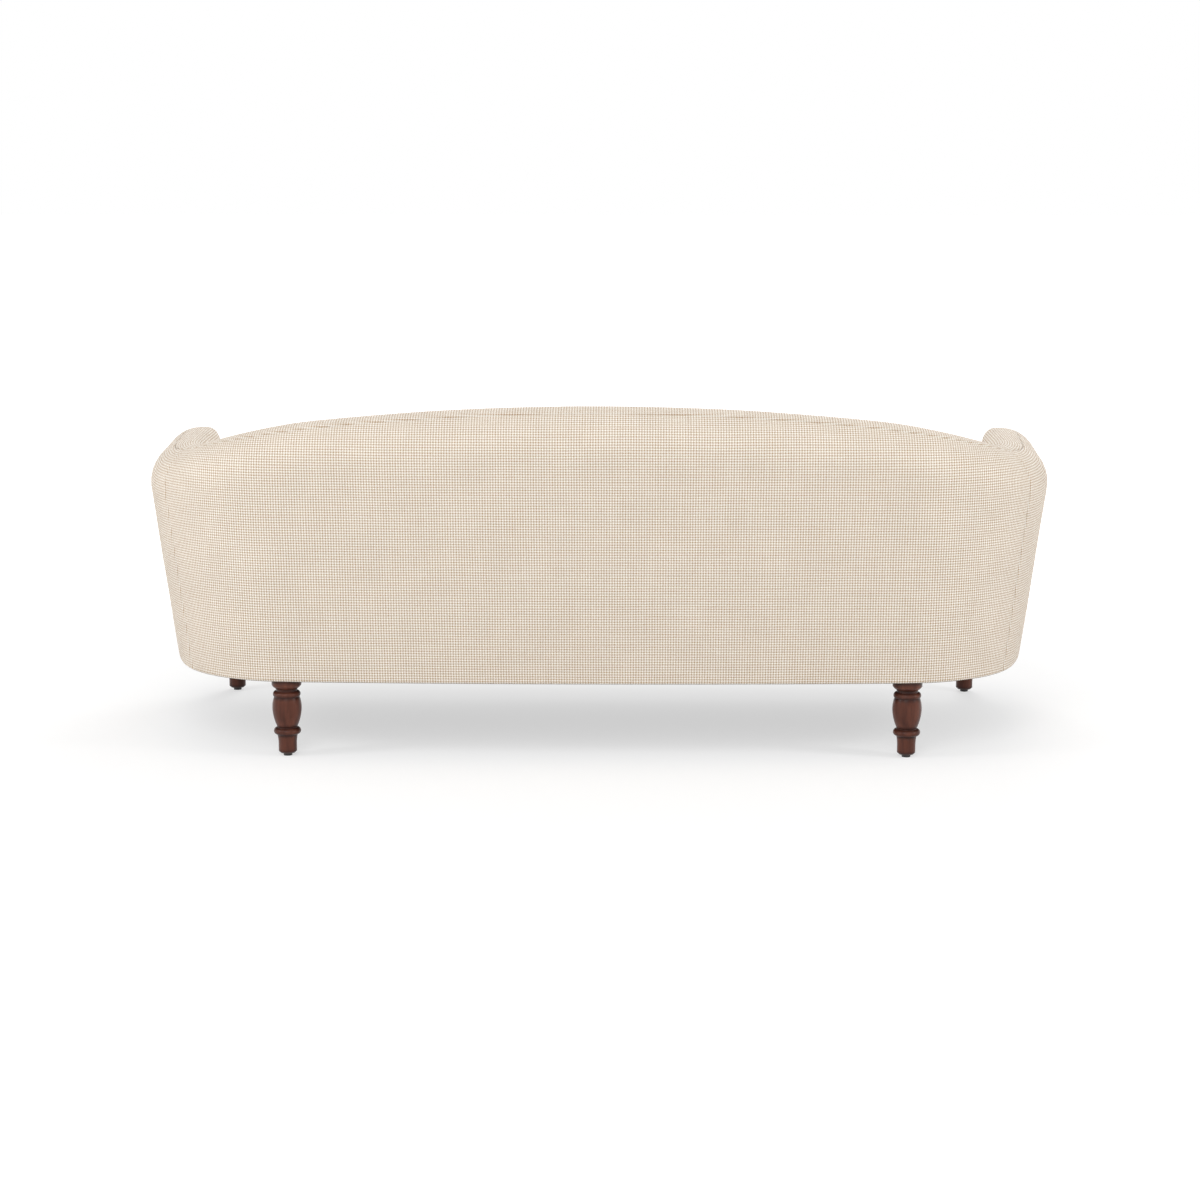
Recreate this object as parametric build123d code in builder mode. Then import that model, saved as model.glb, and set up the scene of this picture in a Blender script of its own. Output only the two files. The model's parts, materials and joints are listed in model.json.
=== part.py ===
from build123d import *
import math
import os

# A tub sofa: one padded wall runs round the back and arms, two loose cushions lie inside it,
# and four turned legs carry it. Millimetres, +Z up, the front faces -Y, the floor is Z = 0.

# Outside of the tub at its base, as tangent arcs from the middle of the back to the arm fronts
base_bottom = 178.0
base_back_y = 386.0
arm_front_y = -440.0
back_half_run = 706.0
back_radius = 14000.0
corner_radius = 304.0
corner_end_angle = 72.0
side_radius = 1000.0
side_end_angle = 84.0

# The wall leans outwards, its inner face more than its outer one
outer_lean = 7.4
inner_lean = 9.5
base_thickness = 165.0
outer_crown_rounding = 90.0
inner_crown_rounding = 36.0

# Crest line over the back, falling at the shoulders to the level arms
back_height = 808.0
arm_height = 668.0
crest_radius = 5800.0
crest_turn = 6.3
shoulder_radius = 1120.0
shoulder_turn = 12.7
hollow_radius = 150.0

# Layers of the wall, from the outside in
fit_gap = 0.3
cover_thickness = 3.0
wadding_thickness = 5.7
board_thickness = 4.0
rail_thickness = 45.0
webbing_thickness = 2.0
front_pad = 4.7
crown_pad = 78.0
arm_pad_joint_y = 36.0
dust_cover_thickness = 1.5

# Seams of the cover
seam_angle = 57.0
crown_seam_drop = 10.0
seam_band = 70.0

# Frame
seat_rail_height = 92.5
top_rail_depth = 60.0
front_rail_thickness = 25.0
rear_rail_half = 640.0
corner_rail_front_y = 36.0
spring_rail_y = 268.0
spring_rail_thickness = 25.0
post_width = 60.0
back_post_x = 240.0
corner_post_angle = 45.0
arm_post_y = -120.0
stretcher_x = 300.0
stretcher_thickness = 30.0
stretcher_height = 60.0
leg_block_size = 80.0
leg_block_height = 70.0

# Webbing across the back
webbing_width = 60.0
webbing_pitch = 105.0
webbing_first_z = 340.0
webbing_count = 3

# Zigzag seat springs
spring_count = 14
spring_pitch = 118.0
spring_wire_radius = 2.0
spring_run = 40.0
spring_runs = 23
clip_plate = 1.5
clip_width = 16.0
clip_height = 20.0
clip_lip = 2.0

# Seat deck and front border
edge_roll_depth = 76.0
edge_roll_height = 27.4
edge_rounding = 14.0

# Loose seat cushions
cushion_front_y = -457.0
cushion_height = 165.0
cushion_wall_gap = 3.0
cushion_middle_gap = 6.0
cushion_crown_radius = 5200.0
cushion_draw_in = 8.0
cushion_corner_rounding = 45.0
cushion_edge_rounding = 26.0

# Turned legs
rear_leg_x = 712.0
rear_leg_y = 333.0
front_leg_x = 941.0
front_leg_y = -389.0
glide_radius = 10.0
glide_height = 6.5
foot_radius = 21.0
foot_top_radius = 23.5
foot_chamfer = 4.0
foot_top_z = 50.0
lower_ring_radius = 31.2
lower_ring_height = 16.0
waist_radius = 23.2
belly_radius = 33.5
belly_z = 108.5
belly_top_radius = 29.2
belly_top_z = 138.5
upper_ring_radius = 31.7
upper_ring_top_z = 152.0
neck_radius = 24.5
neck_height = 5.0
flange_radius = 34.0
flange_height = 12.0
bolt_radius = 4.7
bolt_in_leg = 38.0
bolt_in_frame = 42.0

# Worked out from the sizes above
back_turn = math.degrees(math.asin(back_half_run / back_radius))
corner_x = (back_radius - corner_radius) * math.sin(math.radians(back_turn))
corner_y = (
    base_back_y
    - back_radius
    + (back_radius - corner_radius) * math.cos(math.radians(back_turn))
)
outer_slant = 1 / math.cos(math.radians(outer_lean))
inner_slant = 1 / math.cos(math.radians(inner_lean))
reach = 2 * (back_half_run + corner_radius)
wadding_inset = cover_thickness + fit_gap
board_inset = wadding_inset + wadding_thickness + fit_gap
rail_inset = board_inset + board_thickness + fit_gap
webbing_inset = rail_inset + rail_thickness + fit_gap
pad_inset = webbing_inset + webbing_thickness + fit_gap
frame_bottom = base_bottom + dust_cover_thickness
rail_top = frame_bottom + seat_rail_height
frame_drop = cover_thickness + crown_pad + fit_gap
frame_front_y = arm_front_y + cover_thickness + fit_gap + front_pad + fit_gap
border_front_y = frame_front_y - fit_gap - cover_thickness
front_rail_back_y = frame_front_y + front_rail_thickness
edge_roll_back_y = frame_front_y + edge_roll_depth
deck_pad_top = rail_top + edge_roll_height
deck_bottom = deck_pad_top + fit_gap
deck_top = deck_bottom + cover_thickness
cushion_bottom = deck_top + fit_gap


def base_outline(inset):
    """Plan of the tub at its base, moved in from the outside face."""
    with BuildSketch() as plan:
        with BuildLine():
            back = JernArc((0, base_back_y - inset), (1, 0), back_radius - inset, -back_turn)
            corner = JernArc(back @ 1, back % 1, corner_radius - inset, back_turn - corner_end_angle)
            side = JernArc(
                corner @ 1, corner % 1, side_radius - inset, corner_end_angle - side_end_angle
            )
            run = (arm_front_y - corner_radius - (side @ 1).Y) / (side % 1).Y
            arm = Line(side @ 1, side @ 1 + (side % 1) * run)
            front = Line(arm @ 1, (0, (arm @ 1).Y))
            Line(front @ 1, back @ 0)
        make_face()
        mirror(about=Plane.YZ)
    return plan.sketch


def tub(inset, lean):
    """Everything inside a wall that leans out from the moved outline."""
    with BuildPart() as body:
        with BuildSketch(Plane.XY.offset(base_bottom)):
            add(base_outline(inset))
        extrude(amount=back_height, taper=-lean)
    return body.part


def below_crest(drop):
    """Everything under the crest line, which is lowered by drop."""
    fall_angle = crest_turn + shoulder_turn
    with BuildPart() as body:
        with BuildSketch(Plane.XZ):
            with BuildLine():
                crown = JernArc((0, back_height - drop), (1, 0), crest_radius - drop, -crest_turn)
                shoulder = JernArc(crown @ 1, crown % 1, shoulder_radius - drop, -shoulder_turn)
                hollow = hollow_radius + drop
                hollow_fall = hollow * (1 - math.cos(math.radians(fall_angle)))
                fall = (shoulder @ 1).Y - hollow_fall - (arm_height - drop)
                slope = (shoulder % 1) * (fall / math.sin(math.radians(fall_angle)))
                slant = Line(shoulder @ 1, shoulder @ 1 + slope)
                turn = JernArc(slant @ 1, slant % 1, hollow, fall_angle)
                level = Line(turn @ 1, (reach, arm_height - drop))
                side = Line(level @ 1, (reach, 0))
                floor = Line(side @ 1, (0, 0))
                Line(floor @ 1, crown @ 0)
            make_face()
            mirror(about=Plane.YZ)
        extrude(amount=reach, both=True)
    return body.part


def block(x_range, y_range, z_range):
    """Box between two values on each axis."""
    with BuildPart() as body:
        with BuildSketch(Plane.XY.offset(z_range[0])):
            with Locations((sum(x_range) / 2, sum(y_range) / 2)):
                Rectangle(x_range[1] - x_range[0], y_range[1] - y_range[0])
        extrude(amount=z_range[1] - z_range[0])
    return body.part


def share(shape, inside=(), outside=()):
    """The share of a shape that lies in all the solids of one list and in none of the other."""
    with BuildPart() as piece:
        add(shape)
        for solid in inside:
            add(solid, mode=Mode.INTERSECT)
        for solid in outside:
            add(solid, mode=Mode.SUBTRACT)
    return piece.part


def rim(faces):
    """The edges round a patch of faces."""
    edges = [edge for face in faces for edge in face.edges()]
    return [edge for edge in edges if sum(edge.is_same(other) for other in edges) == 1]


def crown_edges(body, inset):
    """The edges along the crown of the wall, without those at the arm fronts."""
    crown = body.faces().filter_by(lambda face: face.normal_at().Z > math.cos(math.pi / 5))
    return [edge for edge in rim(crown) if edge.center().Y > arm_front_y + inset + fit_gap]


def wall(inset):
    """The padded wall with its rounded crown, moved in on every side but the base."""
    front = Plane(origin=(0, arm_front_y + inset, 0), z_dir=(0, 1, 0))
    middle = tub(base_thickness / 2, (outer_lean + inner_lean) / 2).solid()
    with BuildPart() as body:
        add(tub(inset * outer_slant, outer_lean))
        add(tub(base_thickness - inset * inner_slant, inner_lean), mode=Mode.SUBTRACT)
        add(below_crest(inset), mode=Mode.INTERSECT)
        split(bisect_by=front, keep=Keep.TOP)
        inner = [edge for edge in crown_edges(body, inset) if middle.is_inside(edge.center())]
        fillet(inner, inner_crown_rounding - inset)
        outer = [edge for edge in crown_edges(body, inset) if not middle.is_inside(edge.center())]
        fillet(outer, outer_crown_rounding - inset)
    return body.part


def save(part, name):
    """Label a piece and write it."""
    part.label = name
    export_step(part, f"parts/{name}.step")


def save_pair(part, name):
    """Write a piece of the right side and its mirror image on the left."""
    save(part, f"right_{name}")
    with BuildPart() as twin:
        mirror(part, about=Plane.YZ)
    save(twin.part, f"left_{name}")


os.makedirs("parts", exist_ok=True)

# Regions that the pieces are cut to
far = (-reach, reach)
high = (0, 2 * back_height)
right_half = block((0, reach), far, high)
above_base = block(far, far, (frame_bottom, high[1]))
above_rails = block(far, far, (rail_top, high[1]))
below_rails = block(far, (frame_front_y - fit_gap, reach), (0, rail_top))
behind_front = block(far, (frame_front_y, reach), high)
straight_back = block((-corner_x, corner_x), (corner_y, reach), high)
in_tub = tub(base_thickness + fit_gap, inner_lean)

with BuildPart() as back_region:
    seam_x = reach * math.sin(math.radians(seam_angle))
    seam_y = reach * math.cos(math.radians(seam_angle))
    with BuildSketch():
        with BuildLine():
            Polyline(
                (0, corner_y),
                (corner_x, corner_y),
                (corner_x + seam_x, corner_y + seam_y),
                (0, corner_y + seam_y),
                close=True,
            )
        make_face()
        mirror(about=Plane.YZ)
    extrude(amount=high[1])
in_back = back_region.part

# Covers of the wall: one skin, cut at the corner seams, the crown seam and the arm fronts
skin = share(wall(0), outside=[wall(cover_thickness)])
arm_fronts = block(far, (arm_front_y - fit_gap, arm_front_y + cover_thickness), high)
outer_side = share(below_crest(crown_seam_drop), outside=[tub(seam_band, outer_lean)])
outside_skin = share(skin, inside=[outer_side], outside=[arm_fronts])
inside_skin = share(skin, inside=[above_rails], outside=[outer_side, arm_fronts])
save(share(outside_skin, inside=[in_back]), "outside_back_cover")
save(share(inside_skin, inside=[in_back]), "inside_back_cover")
save_pair(share(outside_skin, inside=[right_half], outside=[in_back]), "outside_arm_cover")
save_pair(share(inside_skin, inside=[right_half], outside=[in_back]), "inside_arm_cover")
save_pair(share(skin, inside=[right_half, arm_fronts]), "arm_front_panel")

# Padding: wraps the frame from inside, over the crown and down the outside
frame_space = share(
    tub(board_inset - fit_gap, outer_lean),
    inside=[below_crest(frame_drop - fit_gap), block(far, (frame_front_y - fit_gap, reach), high)],
    outside=[tub(pad_inset, outer_lean)],
)
under_deck = share(tub(board_inset - fit_gap, outer_lean), inside=[below_rails])
padding = share(wall(wadding_inset), inside=[above_base], outside=[frame_space, under_deck])
save(share(padding, inside=[straight_back]), "back_padding")
save_pair(
    share(padding, inside=[right_half, in_back], outside=[straight_back]), "corner_padding"
)
behind_joint = block((0, reach), (arm_pad_joint_y, reach), high)
save_pair(share(padding, inside=[behind_joint], outside=[in_back]), "arm_rear_padding")
save_pair(share(padding, inside=[right_half], outside=[in_back, behind_joint]), "arm_padding")

# Stiff boards behind the outside covers
boards = share(
    tub(board_inset, outer_lean),
    inside=[below_crest(frame_drop), above_base, behind_front],
    outside=[tub(board_inset + board_thickness, outer_lean)],
)
save(share(boards, inside=[in_back]), "outside_back_board")
save_pair(share(boards, inside=[right_half], outside=[in_back]), "outside_arm_board")

# Frame: rails and posts are cut from one leaning band
band = share(
    tub(rail_inset, outer_lean),
    inside=[behind_front, above_base],
    outside=[tub(rail_inset + rail_thickness, outer_lean)],
)
inside_band = tub(rail_inset + rail_thickness, outer_lean)
post_top = below_crest(frame_drop + top_rail_depth)
top_rails = share(band, inside=[below_crest(frame_drop)], outside=[post_top])
posts = share(band, inside=[post_top, above_rails])
seat_rails = share(band, outside=[above_rails])
middle_part = block((-rear_rail_half, rear_rail_half), (corner_y, reach), high)
corner_part = block((rear_rail_half, reach), (corner_rail_front_y, reach), high)
arm_part = block((0, reach), (-reach, corner_rail_front_y), high)


def leg_bore(x, y):
    """Blind hole for a hanger bolt, up from the underside of the frame."""
    with BuildPart() as bore:
        with BuildSketch(Plane.XY.offset(base_bottom - fit_gap)):
            with Locations((x, y)):
                Circle(bolt_radius + fit_gap)
        extrude(amount=bolt_in_frame + fit_gap)
    return bore.part


rear_bore = leg_bore(rear_leg_x, rear_leg_y)
front_bore = leg_bore(front_leg_x, front_leg_y)
save(share(seat_rails, inside=[middle_part]), "rear_seat_rail")
save_pair(share(seat_rails, inside=[corner_part], outside=[rear_bore]), "corner_seat_rail")
save_pair(share(seat_rails, inside=[arm_part]), "side_seat_rail")
save(share(top_rails, inside=[middle_part]), "back_top_rail")
save_pair(share(top_rails, inside=[corner_part]), "corner_top_rail")
save_pair(share(top_rails, inside=[arm_part]), "arm_top_rail")

half_post = post_width / 2
save_pair(
    share(posts, inside=[block((back_post_x - half_post, back_post_x + half_post), (0, reach), high)]),
    "back_post",
)
save_pair(
    share(
        posts,
        inside=[right_half, block(far, (arm_post_y - half_post, arm_post_y + half_post), high)],
    ),
    "arm_post",
)
save_pair(
    share(posts, inside=[right_half, block(far, (frame_front_y, frame_front_y + post_width), high)]),
    "front_post",
)
with BuildPart() as corner_slice:
    with BuildSketch():
        with Locations(Location((corner_x, corner_y, 0), (0, 0, -corner_post_angle))):
            Rectangle(post_width, corner_radius * 2, align=(Align.CENTER, Align.MIN))
    extrude(amount=high[1])
save_pair(share(posts, inside=[corner_slice.part]), "corner_post")

seat_level = (frame_bottom, rail_top)
save(
    share(inside_band, inside=[block(far, (frame_front_y, front_rail_back_y), seat_level)]),
    "front_seat_rail",
)
spring_rail_range = (spring_rail_y, spring_rail_y + spring_rail_thickness)
save(share(inside_band, inside=[block(far, spring_rail_range, seat_level)]), "rear_spring_rail")
save_pair(
    block(
        (stretcher_x - stretcher_thickness / 2, stretcher_x + stretcher_thickness / 2),
        (front_rail_back_y, spring_rail_y),
        (frame_bottom, frame_bottom + stretcher_height),
    ),
    "seat_stretcher",
)
leg_block_space = block(
    (front_leg_x - leg_block_size / 2, reach),
    (front_rail_back_y, front_rail_back_y + leg_block_size),
    (frame_bottom, frame_bottom + leg_block_height),
)
save_pair(share(inside_band, inside=[leg_block_space], outside=[front_bore]), "front_leg_block")

# Webbing straps across the back, on the inner faces of the posts
with BuildPart() as strap_levels:
    for strap in range(webbing_count):
        bottom = webbing_first_z + strap * webbing_pitch
        add(block(far, far, (bottom, bottom + webbing_width)))
straps = share(
    tub(webbing_inset, outer_lean),
    inside=[in_back, strap_levels.part],
    outside=[tub(webbing_inset + webbing_thickness, outer_lean)],
)
save(straps, "back_webbing")

# Zigzag seat springs between the front rail and the rear spring rail
spring_z = rail_top - fit_gap - spring_wire_radius
clip_bend = spring_wire_radius + fit_gap
spring_front_y = front_rail_back_y + clip_plate + clip_bend
spring_back_y = spring_rail_y - clip_plate - clip_bend
spring_turn = (spring_back_y - spring_front_y) / (spring_runs - 1) / 2
spring_places = [
    (spring - (spring_count - 1) / 2) * spring_pitch for spring in range(spring_count)
]

with BuildPart() as one_spring:
    with BuildLine() as zigzag:
        start = Vector(-spring_run / 2, spring_front_y)
        side = 1
        for run in range(spring_runs):
            cross = Line(start, start + Vector(side * spring_run, 0))
            start = cross @ 1
            if run < spring_runs - 1:
                bend = JernArc(start, (side, 0), spring_turn, side * 180)
                start = bend @ 1
            side = -side
    with BuildSketch(Plane(origin=zigzag.line @ 0, z_dir=zigzag.line % 0)):
        Circle(spring_wire_radius)
    sweep(path=zigzag.line)

with BuildPart() as seat_springs:
    with Locations([(place, 0, spring_z) for place in spring_places]):
        add(one_spring.part)
save(seat_springs.part, "seat_springs")

with BuildPart() as clip_row:
    with BuildSketch(Plane.YZ.offset(-clip_width / 2)):
        with Locations((spring_front_y, spring_z)):
            Circle(clip_bend + clip_plate)
            Circle(clip_bend, mode=Mode.SUBTRACT)
            Rectangle(
                2 * (clip_bend + clip_plate),
                clip_bend + clip_plate,
                align=(Align.CENTER, Align.MIN),
                mode=Mode.SUBTRACT,
            )
        with Locations((spring_front_y + clip_bend, spring_z)):
            Rectangle(clip_plate, clip_lip, align=(Align.MIN, Align.MIN))
        with Locations((front_rail_back_y, spring_z + clip_lip)):
            Rectangle(clip_plate, clip_height, align=(Align.MIN, Align.MAX))
    extrude(amount=clip_width)

middle_y = (spring_front_y + spring_back_y) / 2
with BuildPart() as spring_clips:
    with Locations([(place, 0, 0) for place in spring_places]):
        add(clip_row.part)
    mirror(about=Plane.XZ.offset(-middle_y))
save(spring_clips.part, "spring_clips")

# Seat deck: edge roll on the front rail, pad on the springs, cloth over both
with BuildPart() as edge_roll:
    with BuildSketch(Plane.YZ):
        with Locations((frame_front_y, rail_top)):
            Rectangle(edge_roll_depth, edge_roll_height, align=(Align.MIN, Align.MIN))
    extrude(amount=reach, both=True)
    front_top = edge_roll.edges().filter_by(Axis.X).group_by(Axis.Z)[-1].sort_by(Axis.Y)[0]
    fillet(front_top, edge_rounding)
    add(in_tub, mode=Mode.INTERSECT)
save(edge_roll.part, "front_edge_roll")

deck_back = (edge_roll_back_y + fit_gap, reach)
save(share(in_tub, inside=[block(far, deck_back, (rail_top, deck_pad_top))]), "deck_pad")
save(share(in_tub, inside=[block(far, deck_back, (deck_bottom, deck_top))]), "deck_cover")

with BuildPart() as front_border:
    with BuildSketch(Plane.YZ):
        with Locations((border_front_y, base_bottom)):
            Rectangle(
                edge_roll_back_y - border_front_y, deck_top - base_bottom, align=(Align.MIN, Align.MIN)
            )
    extrude(amount=reach, both=True)
    front_top = front_border.edges().filter_by(Axis.X).group_by(Axis.Z)[-1].sort_by(Axis.Y)[0]
    fillet(front_top, edge_rounding + fit_gap + cover_thickness)
    with BuildSketch(Plane.YZ) as hollow:
        with Locations((border_front_y + cover_thickness, 0)):
            Rectangle(reach, deck_bottom, align=(Align.MIN, Align.MIN))
        corner = hollow.vertices().group_by(Axis.Y)[-1].sort_by(Axis.X)[0]
        fillet(corner, edge_rounding + fit_gap)
    extrude(amount=reach, both=True, mode=Mode.SUBTRACT)
    add(in_tub, mode=Mode.INTERSECT)
save(front_border.part, "front_border_cover")

# Dust cover under the frame, with holes for the leg bolts
with BuildPart() as dust_cover:
    add(tub(wadding_inset, outer_lean))
    add(block(far, (frame_front_y, reach), (base_bottom, frame_bottom)), mode=Mode.INTERSECT)
    for side in (-1, 1):
        for x, y in ((rear_leg_x, rear_leg_y), (front_leg_x, front_leg_y)):
            add(leg_bore(side * x, y), mode=Mode.SUBTRACT)
save(dust_cover.part, "dust_cover")


def cushion_form(inset):
    """Right seat cushion: crowned, its front and middle sides drawn in, moved in on every side."""
    middle_x = cushion_middle_gap / 2 + inset
    front_y = cushion_front_y + inset
    crown_x = (corner_x + corner_radius) / 2
    crown_y = (cushion_front_y + base_back_y - base_thickness) / 2
    crown_z = cushion_bottom + cushion_height - cushion_crown_radius
    with BuildPart() as form:
        with BuildSketch(Plane.XY.offset(cushion_bottom + inset)):
            with BuildLine():
                front = ThreePointArc(
                    (middle_x, front_y), (crown_x, front_y + cushion_draw_in), (2 * crown_x, front_y)
                )
                side = Line(front @ 1, (2 * crown_x, base_back_y))
                back = Line(side @ 1, (middle_x, base_back_y))
                ThreePointArc(back @ 1, (middle_x + cushion_draw_in, crown_y), front @ 0)
            make_face()
        extrude(amount=2 * cushion_height)
        add(
            tub(base_thickness + cushion_wall_gap + inset * inner_slant, inner_lean),
            mode=Mode.INTERSECT,
        )
        with Locations((crown_x, crown_y, crown_z)):
            Sphere(cushion_crown_radius - inset, mode=Mode.INTERSECT)
        upright = form.edges().filter_by(lambda edge: abs((edge % 0.5).Z) > math.sin(math.pi / 4))
        rear_middle = upright.group_by(Axis.X)[0].sort_by(Axis.Y)[-1]
        front_corners = upright.sort_by(Axis.Y)[:2]
        fillet([rear_middle] + list(front_corners), cushion_corner_rounding - inset)
        top = form.faces().sort_by(Axis.Z)[-1]
        bottom = form.faces().sort_by(Axis.Z)[0]
        fillet(top.edges() + bottom.edges(), cushion_edge_rounding - inset)
    return form.part


save_pair(share(cushion_form(0), outside=[cushion_form(cover_thickness)]), "seat_cushion_cover")
save_pair(cushion_form(cover_thickness + fit_gap), "seat_cushion_core")


def turned_leg(x, y):
    """One leg with its flange, rings, belly and foot, and the bore for its bolt."""
    lower_ring_top_z = foot_top_z + lower_ring_height
    neck_top_z = upper_ring_top_z + neck_height
    flange_bottom_z = base_bottom - flange_height
    belly_side = (belly_radius + waist_radius) / 2 + (belly_radius - waist_radius) / 6
    with BuildPart() as leg:
        with BuildSketch(Plane(origin=(x, y, 0), x_dir=(1, 0, 0), z_dir=(0, -1, 0))):
            with BuildLine():
                bottom = Line((0, glide_height), (foot_radius - foot_chamfer, glide_height))
                chamfer_edge = Line(bottom @ 1, (foot_radius, glide_height + foot_chamfer))
                foot = Line(chamfer_edge @ 1, (foot_radius, (glide_height + foot_top_z) / 2))
                flare = ThreePointArc(
                    foot @ 1,
                    ((3 * foot_radius + foot_top_radius) / 4, (glide_height + 3 * foot_top_z) / 4),
                    (foot_top_radius, foot_top_z),
                )
                lower_ring = ThreePointArc(
                    flare @ 1,
                    (lower_ring_radius, foot_top_z + lower_ring_height / 2),
                    (waist_radius, lower_ring_top_z),
                )
                waist = Line(lower_ring @ 1, (waist_radius, lower_ring_top_z + foot_chamfer / 2))
                belly = ThreePointArc(
                    waist @ 1,
                    (belly_side, lower_ring_top_z + (belly_z - lower_ring_top_z) / 2),
                    (belly_radius, belly_z),
                )
                shoulder = TangentArc(
                    belly @ 1, (belly_top_radius, belly_top_z), tangent=belly % 1
                )
                upper_ring = ThreePointArc(
                    shoulder @ 1,
                    (upper_ring_radius, (belly_top_z + upper_ring_top_z) / 2),
                    (neck_radius, upper_ring_top_z),
                )
                neck = Line(upper_ring @ 1, (neck_radius, neck_top_z))
                cove = RadiusArc(neck @ 1, (flange_radius, flange_bottom_z), -2 * flange_height)
                flange = Line(cove @ 1, (flange_radius, base_bottom))
                top = Line(flange @ 1, (0, base_bottom))
                Line(top @ 1, bottom @ 0)
            make_face()
        revolve(axis=Axis((x, y, 0), (0, 0, 1)))
        with BuildSketch(Plane.XY.offset(base_bottom)):
            with Locations((x, y)):
                Circle(bolt_radius + fit_gap)
        extrude(amount=-bolt_in_leg, mode=Mode.SUBTRACT)
    return leg.part


save_pair(turned_leg(rear_leg_x, rear_leg_y), "rear_leg")
save_pair(turned_leg(front_leg_x, front_leg_y), "front_leg")

leg_places = [
    (side * x, y)
    for side in (-1, 1)
    for x, y in ((rear_leg_x, rear_leg_y), (front_leg_x, front_leg_y))
]
with BuildPart() as leg_glides:
    with BuildSketch():
        with Locations(leg_places):
            Circle(glide_radius)
    extrude(amount=glide_height)
save(leg_glides.part, "leg_glides")

with BuildPart() as leg_bolts:
    with BuildSketch(Plane.XY.offset(base_bottom - bolt_in_leg)):
        with Locations(leg_places):
            Circle(bolt_radius)
    extrude(amount=bolt_in_leg + bolt_in_frame)
save(leg_bolts.part, "leg_bolts")
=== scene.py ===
"""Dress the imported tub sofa: checked cloth, padded cushions, turned legs, studio and camera."""
import json
import logging
import math
from dataclasses import dataclass, field
from enum import Enum
from typing import Callable

import bpy
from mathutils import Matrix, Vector, noise


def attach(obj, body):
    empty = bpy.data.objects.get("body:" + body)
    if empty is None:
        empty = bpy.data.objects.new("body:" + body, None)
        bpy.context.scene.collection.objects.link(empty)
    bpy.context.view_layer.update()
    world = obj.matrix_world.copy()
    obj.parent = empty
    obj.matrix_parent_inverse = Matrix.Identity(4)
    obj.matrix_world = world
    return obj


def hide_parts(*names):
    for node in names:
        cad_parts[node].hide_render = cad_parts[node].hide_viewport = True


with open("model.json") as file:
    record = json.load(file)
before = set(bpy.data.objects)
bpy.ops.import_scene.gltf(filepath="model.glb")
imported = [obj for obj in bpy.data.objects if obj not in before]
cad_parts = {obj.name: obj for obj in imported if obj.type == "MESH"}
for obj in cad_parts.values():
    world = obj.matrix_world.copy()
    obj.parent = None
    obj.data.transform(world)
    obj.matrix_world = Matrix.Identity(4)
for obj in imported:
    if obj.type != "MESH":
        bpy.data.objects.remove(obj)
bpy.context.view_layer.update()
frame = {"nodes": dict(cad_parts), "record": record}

LOG = logging.getLogger("sofa")
SOFA_BODY = "sofa"
CLOTH_SLOT = "check_cloth"

Colour = tuple[float, float, float]
Flat = tuple[float, float]
Spot = tuple[Vector, Flat, float]
# Vertex attribute of closeness to a seam; the cloth darkens by it as painted shade in the seam's crease.
SEAM_SHADE_MASK = "sewn"


class Side(Enum):
    """The two mirrored halves of the sofa, by the sign of X."""

    LEFT = -1
    RIGHT = 1

    @property
    def word(self) -> str:
        """Name of the side as the CAD nodes spell it."""
        return self.name.lower()


class Layer(Enum):
    """The cloth panels that cover the wall."""

    OUTSIDE = "outside"
    INSIDE = "inside"


# Shared helpers for node trees and meshes


def socket_value(node: bpy.types.Node, values: dict[str, object]) -> None:
    """Set several input sockets of a node.

    Args:
        node: Node whose inputs are set.
        values: Socket name to value.
    """
    for name, value in values.items():
        node.inputs[name].default_value = value


def rgba(colour: Colour) -> tuple[float, float, float, float]:
    """Colour with full alpha."""
    return (*colour, 1.0)


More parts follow.
